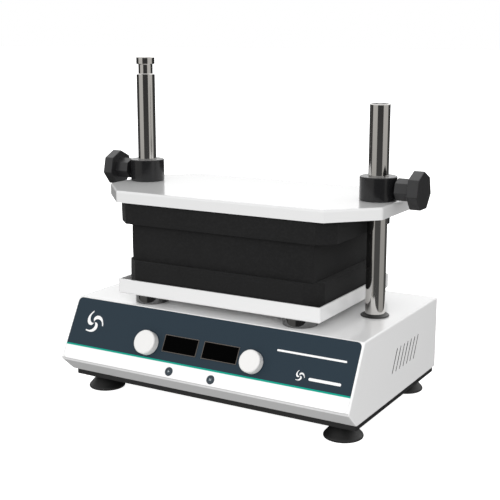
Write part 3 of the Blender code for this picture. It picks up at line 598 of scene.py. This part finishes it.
def tray_post(name):
    """A tray post: wide above the casing, with a narrow neck through the casing's hole."""
    node = f"tray_post_{name}"
    low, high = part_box(node)
    centre, r = middle(node), half(node).x
    shroud = CASE_TOP_Z + 0.0003
    profile = eased([(0, high.z), (r - 0.0002, high.z), (r, high.z - 0.0004), (r, shroud + 0.0005),
                     (r - 0.0005, shroud), (POST_NECK_R, shroud), (POST_NECK_R, low.z), (0, low.z)],
                    0.0002, 2)
    bm = lathe(profile, (centre.x, centre.y, 0), 96)
    piece(f"turned_post_{name}", bm, "post_steel", "platform", [node], 30)


for side in ("left", "right"):
    pole(side)
    pole_seal(side)
for name in ("front_left", "front_right", "rear_left", "rear_right"):
    tray_post(name)


# ---------------------------------------------------------------- collars and clamp knobs
# the gap of a loose fit, the radius of a collar's spigot, and the nuts' notched rims
GAP, SPIGOT_R = 0.0003, 0.0141
NUT_NOTCHES, NOTCH_DEPTH = 24, 0.0007

# the height of the clamp screws, and the radii of a knob's head, hub and stud
KNOB_Z, KNOB_SIDES = 0.2890, 7
HEAD_R, HUB_R, STUD_R = 0.0244, 0.0142, 0.0039
# how far out from the middle of the clamp a knob's hub and its head start
HUB_START, HEAD_START = 0.2005, 0.2202


def collar(side):
    """A collar on its pole, with a spigot down through the clamp plate."""
    node = f"collar_{side}"
    low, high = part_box(node)
    bore, r = POLE_R + GAP, half(node).x
    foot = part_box("clamp_plate")[1].z + GAP
    profile = eased([(bore + 0.0007, high.z), (r - 0.0007, high.z), (r, high.z - 0.0007),
                     (r, foot + 0.0005), (r - 0.0005, foot), (SPIGOT_R, foot), (SPIGOT_R, low.z),
                     (bore, low.z), (bore, high.z - 0.0007), (bore + 0.0007, high.z)], 0.0003, 2)
    bm = lathe(profile[:-1], (middle(node).x, MID_Y, 0), 96)
    piece(f"turned_collar_{side}", bm, "black_plastic", "clamp", [node], 30)


def ring_outline(x, radii, count):
    """A closed outline about a pole's place whose points take the radii in turn."""
    return [(x + radii[i % len(radii)] * math.cos(TAU * i / count),
             MID_Y + radii[i % len(radii)] * math.sin(TAU * i / count)) for i in range(count)]


def collar_nut(side):
    """The notched round nut that holds a collar's spigot from below the plate."""
    node = f"collar_nut_{side}"
    low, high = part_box(node)
    x, r = middle(f"collar_{side}").x, half(node).x
    rim = ring_outline(x, (r, r - NOTCH_DEPTH), 2 * NUT_NOTCHES)
    bore = ring_outline(x, (SPIGOT_R + GAP,), 2 * NUT_NOTCHES)
    piece(f"notched_nut_{side}", frame_ring(rim, bore, low.z, high.z), "black_plastic", "clamp",
          [node], 30)


def knob_outline(radius, rounding):
    points = [(radius * math.sin(TAU * i / KNOB_SIDES), radius * math.cos(TAU * i / KNOB_SIDES))
              for i in range(KNOB_SIDES)]
    return rounded_polygon(points, rounding)


def clamp_knob(side, sign):
    """A seven-sided knob with a hub and a stud, drawn in Y-Z with its height out along X."""
    node = f"clamp_knob_{side}"
    start, end = sorted(abs(corner.x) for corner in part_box(node))
    turn = Matrix(((0, 0, sign, 0), (1, 0, 0, MID_Y), (0, 1, 0, KNOB_Z), (0, 0, 0, 1)))
    head = bevelled(prism(knob_outline(HEAD_R, 0.0020), HEAD_START, end), 0.0007, 3, 25)
    hub = bevelled(prism(knob_outline(HUB_R, 0.0014), HUB_START, HEAD_START + 0.0030), 0.0004, 2, 25)
    stud = lathe([(0, HEAD_START), (STUD_R, HEAD_START), (STUD_R, start + 0.0006),
                  (STUD_R - 0.0006, start), (0, start)], steps=32)
    bm = merged(head, hub, stud)
    bm.transform(turn)
    knob = piece(f"moulded_knob_{side}", bm, "knob_plastic", f"{side}_clamp_knob",
                 [node], 35)
    even_shading(knob)


for side, sign in (("left", -1), ("right", 1)):
    collar(side)
    collar_nut(side)
    clamp_knob(side, sign)


# ---------------------------------------------------------------- feet
def foot(name):
    """A suction foot: a stem that flares to a wide lip, hollow below."""
    centre, top, r = middle(name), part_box(name)[1].z, half(name).x
    profile = eased([(0, top), (0.0130, top), (0.0131, 0.0176), (0.0142, 0.0150), (0.0170, 0.0117),
                     (0.0212, 0.0068), (r - 0.0005, 0.0036), (r, 0.0020), (r - 0.0004, 0.0007),
                     (0.0228, 0.0000), (0.0190, 0.0000), (0.0150, 0.0022), (0.0070, 0.0040),
                     (0, 0.0042)], 0.0012, 3)
    piece(f"moulded_{name}", lathe(profile, (centre.x, centre.y, 0), 72), "rubber", "base",
          [name], 50)


for name in ("foot_front_left", "foot_front_right", "foot_rear_left", "foot_rear_right"):
    foot(name)


# ---------------------------------------------------------------- foam rack and cushion
FOAM_INSET, FOAM_BOW, FOAM_ROUNDING = 0.0003, 0.0004, 0.0006
CUT_REACH = 0.01  # how far a drill goes on past the foam
TUBE_R, TUBE_FLOOR_Z = 0.0148, 0.1560
TUBE_COLUMNS, TUBE_ROWS = 5, 3
TUBE_PITCH_X, TUBE_PITCH_Y = 0.0500, 0.0560
TUBE_HOLES = [((column - TUBE_COLUMNS // 2) * TUBE_PITCH_X,
               STACK_Y + (row - TUBE_ROWS // 2) * TUBE_PITCH_Y, TUBE_R)
              for row in range(TUBE_ROWS) for column in range(TUBE_COLUMNS)]
NUT_POCKET_R, NUT_POCKET_FLOOR_Z = 0.0181, 0.2597


def cut_corner_outline(half_x, half_y, cut_x, cut_y, rounding):
    """A rectangle with its four corners cut off."""
    points = [(half_x, half_y - cut_y), (half_x - cut_x, half_y), (cut_x - half_x, half_y),
              (-half_x, half_y - cut_y), (-half_x, cut_y - half_y), (cut_x - half_x, -half_y),
              (half_x - cut_x, -half_y), (half_x, cut_y - half_y)]
    return rounded_polygon(points, rounding, 3)


def die_cut_block(name, node, outline, holes, hole_low):
    """A foam block with soft edges, sides that bow a little, and round holes down to hole_low."""
    low, high = (corner.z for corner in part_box(node))
    bm = prism(outline, low, high)
    middle_z = (low + high) / 2
    sides = [e for e in bm.edges if abs(e.verts[0].co.z - e.verts[1].co.z) > 1e-6]
    bmesh.ops.subdivide_edges(bm, edges=sides, cuts=5, use_grid_fill=True)
    for v in bm.verts:
        t = (v.co.z - middle_z) / ((high - low) / 2)
        if abs(t) < 0.999:
            v.co += Vector((v.co.x, v.co.y, 0)).normalized() * (FOAM_BOW * (1 - t * t))
    bm.transform(Matrix.Translation((0, STACK_Y, 0)))
    block = linked(name, bm)
    above = high + CUT_REACH
    drills = bmesh.new()
    for x, y, r in holes:
        bmesh.ops.create_cone(drills, cap_ends=True, segments=40, radius1=r, radius2=r,
                              depth=above - hole_low,
                              matrix=Matrix.Translation((x, y, (above + hole_low) / 2)))
    tool = linked("drill", drills)
    drill = block.modifiers.new("Drill", "BOOLEAN")
    drill.operation, drill.solver, drill.object = "DIFFERENCE", "EXACT", tool
    baked(block)
    bpy.data.objects.remove(tool)
    edges = block.modifiers.new("Soft edges", "BEVEL")
    edges.width, edges.segments, edges.limit_method = FOAM_ROUNDING, 3, "ANGLE"
    edges.angle_limit = math.radians(50)
    edges.harden_normals = False
    baked(block)
    finished(block, "foam", body_of(NODES[node])[0], [node], 40)


def inset_half(node):
    """Half the node's width and depth, less the foam's inset."""
    size = half(node)
    return size.x - FOAM_INSET, size.y - FOAM_INSET


die_cut_block("foam_rack_lower", "rack_lower_block",
              cut_corner_outline(*inset_half("rack_lower_block"), 0.0206, 0.0188, 0.0010),
              TUBE_HOLES, TUBE_FLOOR_Z)
die_cut_block("foam_rack_upper", "rack_upper_block",
              rectangle(*inset_half("rack_upper_block"), corner=0.0030, steps=4),
              TUBE_HOLES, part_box("rack_upper_block")[0].z - CUT_REACH)
die_cut_block("foam_cushion", "clamp_cushion",
              cut_corner_outline(*inset_half("clamp_cushion"), 0.0204, 0.0192, 0.0010),
              [(x, MID_Y, NUT_POCKET_R) for x in (-POLE_X, POLE_X)], NUT_POCKET_FLOOR_Z)


# ---------------------------------------------------------------- front panel pieces
# heights here are out of the panel's surface, and negative ones lie behind it
WINDOW_HALF_U, WINDOW_HALF_V = 0.0247, 0.01025
BEZEL_WIDTH, BEZEL_HEIGHT = 0.0009, 0.0004
DIAL_FOOT, DIAL_TOP = 0.0005, 0.0118
DIAL_STEM_R, DIAL_STEM_END = 0.0030, -0.0075
BUTTON_TOP, FLANGE_WIDTH, FLANGE_TOP, FLANGE_FOOT = 0.0006, 0.0013, -0.0030, -0.0040
BUTTON_STEM_R, BUTTON_STEM_END = 0.0018, -0.0100
SIGN_HEIGHT, SIGN_SINK = 0.00012, 0.00004
INK_HEIGHT, INK_LIFT = 0.00006, 0.00001


def display_bezel(side):
    """A thin frame around a display window."""
    outer = rectangle(WINDOW_HALF_U + BEZEL_WIDTH, WINDOW_HALF_V + BEZEL_WIDTH, corner=0.0007, steps=3)
    inner = rectangle(WINDOW_HALF_U, WINDOW_HALF_V, corner=0.0004, steps=3)
    place = on_panel(middle(f"display_{side}").x, DISPLAY_V)
    piece(f"display_bezel_{side}", frame_ring(outer, inner, 0.0, BEZEL_HEIGHT, place), "bezel",
          "base", smooth=30)


def dial(node, body):
    """A round control knob with a slightly hollow face, and a stem into its encoder."""
    r, top = half(node).x, DIAL_TOP
    profile = eased([(0, top - 0.00025), (r - 0.0040, top - 0.0002), (r - 0.0020, top),
                     (r - 0.0010, top - 0.0003), (r, top - 0.0016), (r, DIAL_FOOT + 0.0004),
                     (r - 0.0004, DIAL_FOOT), (DIAL_STEM_R, DIAL_FOOT), (DIAL_STEM_R, DIAL_STEM_END),
                     (0, DIAL_STEM_END)], 0.0006, 3)
    bm = lathe(profile, steps=96, matrix=on_panel(middle(node).x, DIAL_V))
    piece(f"moulded_{node}", bm, "dial", body, [node], 30)


def start_sign():
    """A triangle that points right."""
    return prism([(-0.0011, -0.0015), (0.0017, 0.0), (-0.0011, 0.0015)], 0.0, SIGN_HEIGHT)


def stop_sign():
    """Two upright bars."""
    return merged(*[prism(rectangle(0.00045, 0.0014, (x, 0)), 0.0, SIGN_HEIGHT)
                    for x in (-0.0009, 0.0009)])


def button(side, sign):
    """A round button with a flange behind the panel, and a sign on its face."""
    node = f"button_{side}"
    u, r, top = middle(node).x, half(node).x - FLANGE_WIDTH, BUTTON_TOP
    flange = r + FLANGE_WIDTH
    profile = eased([(0, top), (r - 0.0008, top), (r, top - 0.0005), (r, FLANGE_TOP),
                     (flange, FLANGE_TOP), (flange, FLANGE_FOOT), (BUTTON_STEM_R, FLANGE_FOOT),
                     (BUTTON_STEM_R, BUTTON_STEM_END), (0, BUTTON_STEM_END)], 0.0003, 2)
    bm = lathe(profile, steps=64, matrix=on_panel(u, BUTTON_V))
    piece(f"moulded_{node}", bm, "button", f"{side}_button", [node], 35)
    sign.transform(on_panel(u, BUTTON_V, top - SIGN_SINK))
    piece(f"button_sign_{side}", sign, "print", f"{side}_button")


def ink(name, shapes, u, v):
    """White print on the front sheet, from flat shapes in the panel's own directions."""
    bm = merged(*shapes)
    bm.transform(on_panel(u, v, INK_LIFT))
    piece(name, bm, "ink", "base")


def swirl_mark(radius):
    """A plain sign for a whirl: three bent blades."""
    steps, twist, thick = 12, 2.3, 0.12 * radius
    blades = []
    for blade in range(3):
        outer, inner = [], []
        for i in range(steps + 1):
            t = i / steps
            angle = TAU * blade / 3 + twist * t
            reach = radius * (0.14 + 0.80 * t)
            width = thick * (0.5 + 1.1 * math.sin(math.pi * min(1, t + 0.15)))
            outer.append(((reach + width) * math.cos(angle), (reach + width) * math.sin(angle)))
            inner.append(((reach - width) * math.cos(angle), (reach - width) * math.sin(angle)))
        blades.append(prism(outer + inner[::-1], 0, INK_HEIGHT))
    return blades


def rounded_bar(half_length, half_height, centre=(0, 0)):
    return prism(rectangle(half_length, half_height, centre, half_height * 0.95, 4), 0, INK_HEIGHT)


for side in ("left", "right"):
    display_bezel(side)
dial("time_dial", "time_control")
dial("speed_dial", "speed_control")
button("left", start_sign())
button("right", stop_sign())
ink("ink_mark_large", swirl_mark(0.0162), u=-0.1736, v=0.0318)
ink("ink_mark_small", swirl_mark(0.0070), u=0.1400, v=0.0515)
ink("ink_lines", [rounded_bar(0.0460, 0.0012), rounded_bar(0.0210, 0.0017, (0.0240, 0.0275))],
    u=0.1490, v=0.0260)


# ---------------------------------------------------------------- rear panel pieces
# The inlet's screws and pins are placed from its middle, the casing's screws as (x, z). Heights are
# out of the rear face, and negative ones lie behind it.
INLET_SCREW_X = 0.0202
INLET_PINS = ((-0.0070, 0.0020), (0.0070, 0.0020), (0, 0.0060))
PIN_HALF_X, PIN_HALF_Z, PIN_FOOT, PIN_TOP = 0.0012, 0.0022, -0.0140, -0.0012
CASING_SCREWS = [(x, z) for z in (0.034, 0.110) for x in (-0.192, 0.192)]


def facing_rear(x, z, y=CASE_REAR_Y):
    """Turns a shape drawn in X-Y so that it lies on the rear panel and its height points out."""
    return Matrix(((-1, 0, 0, x), (0, 0, 1, y), (0, 1, 0, z), (0, 0, 0, 1)))


def cross_screw(name, x, z, y, radius, height):
    """A low domed screw head, with a dark cross on its crown as painted shade for a cross recess."""
    arm, wide = 0.62 * radius, 0.13 * radius
    cross = [(wide, arm), (-wide, arm), (-wide, wide), (-arm, wide), (-arm, -wide), (-wide, -wide),
             (-wide, -arm), (wide, -arm), (wide, -wide), (arm, -wide), (arm, wide), (wide, wide)]
    head = lathe(eased([(0, height), (0.75 * radius, 0.86 * height), (radius, 0.35 * height),
                        (radius, 0), (0, 0)], 0.3 * radius, 3), steps=32)
    # painted shade: a raised dark cross on the crown stands in for the shade inside a cross recess
    painted_recess_shade = prism(cross, 0.90 * height, 1.04 * height)
    head.transform(facing_rear(x, z, y))
    painted_recess_shade.transform(facing_rear(x, z, y))
    piece(name, head, "plain_steel", "base")
    piece(f"{name}_recess", painted_recess_shade, "seal", "base")


def rear_panel():
    """The inlet's screws and pins, and the screws that hold the casing."""
    inlet, rear_face = middle("power_inlet"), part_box("power_inlet")[1].y
    for tag, dx in (("a", -INLET_SCREW_X), ("b", INLET_SCREW_X)):
        cross_screw(f"inlet_screw_{tag}", inlet.x + dx, inlet.z, rear_face, radius=0.0025,
                    height=0.0005)
    for i, (dx, dz) in enumerate(INLET_PINS, start=1):
        pin = bevelled(prism(rectangle(PIN_HALF_X, PIN_HALF_Z), PIN_FOOT, PIN_TOP), 0.0005, 2, 60)
        pin.transform(facing_rear(inlet.x + dx, inlet.z + dz))
        piece(f"inlet_pin_{i}", pin, "plain_steel", "base")
    for i, (x, z) in enumerate(CASING_SCREWS, start=1):
        cross_screw(f"casing_screw_{i}", x, z, CASE_REAR_Y, radius=0.0032, height=0.0014)


rear_panel()


# ---------------------------------------------------------------- floor, light and camera
CAMERA_PLACE = (0.6615, -1.1305, 0.4726)
CAMERA_AZIMUTH, CAMERA_ELEVATION = math.radians(30.344), math.radians(11.979)
CAMERA_LENS = 72.86
KEY_PLACE, KEY_TARGET = (0.75, -2.0, 0.9), (0, 0, 0.15)
KEY_WIDTH, KEY_HEIGHT, KEY_POWER = 1.6, 1.2, 22
FLOOR_REACH, FLOOR_Z = 30.0, -0.0002

# The bright cards that mirrors see stand between these bearings, with soft edges, in degrees from +X
# toward +Y. The white overhead is brightest behind the object, a little more so on its left.
CARD_BEARINGS, CARD_EDGE = ((-150, -93), (-27, 35)), 3
LEFT_BEARING, RIGHT_BEARING = 132, 108
OVERHEAD_LEFT, OVERHEAD_RIGHT, OVERHEAD_FRONT = 1.60, 1.50, 1.0


def studio_world():
    """White to the camera, soft light for matt surfaces, and cards and shade for mirrors."""
    world = bpy.data.worlds.new("studio")
    bpy.context.scene.world = world
    world.use_nodes = True
    tree = world.node_tree
    tree.nodes.clear()
    out = tree.nodes.new("ShaderNodeOutputWorld")
    coords = tree.nodes.new("ShaderNodeTexCoord")
    x, y, height = axes(tree, coords.outputs["Generated"])
    bearing = math_node(tree, "ARCTAN2", y, x)

    # what mirrors see: shade and bright cards up to a little above the horizon, and white overhead
    level = remap(tree, height, -0.20, 0.0, 0, 1)
    shade = mixed(tree, level, grey(0.085), grey(0.034))
    card = mixed(tree, level, (0.40, 0.393, 0.38), (0.66, 0.649, 0.627))
    for start, end in CARD_BEARINGS:
        rise = remap(tree, bearing, math.radians(start - CARD_EDGE),
                     math.radians(start + CARD_EDGE), 0, 1, smooth=True)
        fall = remap(tree, bearing, math.radians(end - CARD_EDGE), math.radians(end + CARD_EDGE),
                     1, 0, smooth=True)
        shade = mixed(tree, product(tree, rise, fall), shade, card)
    right = remap(tree, bearing, math.radians(LEFT_BEARING), math.radians(RIGHT_BEARING), 0, 1,
                  smooth=True)
    behind = remap(tree, y, 0.2, 0.5, 0, 1, smooth=True)
    overhead = mixed(tree, right, grey(OVERHEAD_LEFT), grey(OVERHEAD_RIGHT))
    overhead = mixed(tree, behind, grey(OVERHEAD_FRONT), overhead)
    mirrored = mixed(tree, remap(tree, height, 0.09, 0.14, 0, 1, smooth=True), shade, overhead)

    # what lights matt surfaces: dimmer below the horizon, and a little dimmer overhead
    below = remap(tree, height, -1.0, 0.0, 0, 1, smooth=True)
    above = remap(tree, height, 0.0, 1.0, 0, 1, smooth=True)
    soft = mixed(tree, above, mixed(tree, below, grey(0.50), grey(0.79)), grey(0.73))

    path = tree.nodes.new("ShaderNodeLightPath")
    lit = mixed(tree, path.outputs["Is Diffuse Ray"], mirrored, soft)
    colour = mixed(tree, path.outputs["Is Camera Ray"], lit, grey(1.0))
    background = tree.nodes.new("ShaderNodeBackground")
    tree.links.new(colour, background.inputs[0])
    background.inputs[1].default_value = 1.0
    tree.links.new(background.outputs[0], out.inputs[0])


def floor():
    """A wide white floor that glows a little, so that only a faint shadow stays on it."""
    bm = bmesh.new()
    bmesh.ops.create_grid(bm, x_segments=1, y_segments=1, size=FLOOR_REACH)
    obj = linked("floor", bm)
    obj.location = (0, 0, FLOOR_Z)
    mat = surface("pale_floor", grey(0.90), 0.75, spread=0.004, patch=2.0, grain=0.0,
                  Specular_IOR_Level=0.0)
    shader = mat.node_tree.nodes["Principled BSDF"]
    shader.inputs["Emission Color"].default_value = (1, 1, 1, 1)
    shader.inputs["Emission Strength"].default_value = 0.90
    obj.data.materials.append(mat)
    obj.visible_glossy = False
    obj.visible_diffuse = False


def camera():
    """The camera at the photograph's place and angle."""
    forward = Vector((-math.sin(CAMERA_AZIMUTH) * math.cos(CAMERA_ELEVATION),
                      math.cos(CAMERA_AZIMUTH) * math.cos(CAMERA_ELEVATION),
                      -math.sin(CAMERA_ELEVATION)))
    data = bpy.data.cameras.new("camera")
    data.sensor_width = 36.0
    data.lens = CAMERA_LENS
    data.clip_start, data.clip_end = 0.02, 100.0
    obj = bpy.data.objects.new("camera", data)
    obj.location = CAMERA_PLACE
    obj.rotation_euler = forward.to_track_quat("-Z", "Y").to_euler()
    bpy.context.scene.collection.objects.link(obj)
    bpy.context.scene.camera = obj


def key_light():
    """A large soft light from the front right, which mirrors don't see."""
    data = bpy.data.lights.new("key", "AREA")
    data.shape, data.size, data.size_y, data.energy = "RECTANGLE", KEY_WIDTH, KEY_HEIGHT, KEY_POWER
    toward = Vector(KEY_TARGET) - Vector(KEY_PLACE)
    light = bpy.data.objects.new("key", data)
    light.location = KEY_PLACE
    light.rotation_euler = toward.to_track_quat("-Z", "Y").to_euler()
    light.visible_glossy = False
    bpy.context.scene.collection.objects.link(light)


studio_world()
floor()
camera()
key_light()
bpy.context.scene.view_settings.view_transform = "Standard"
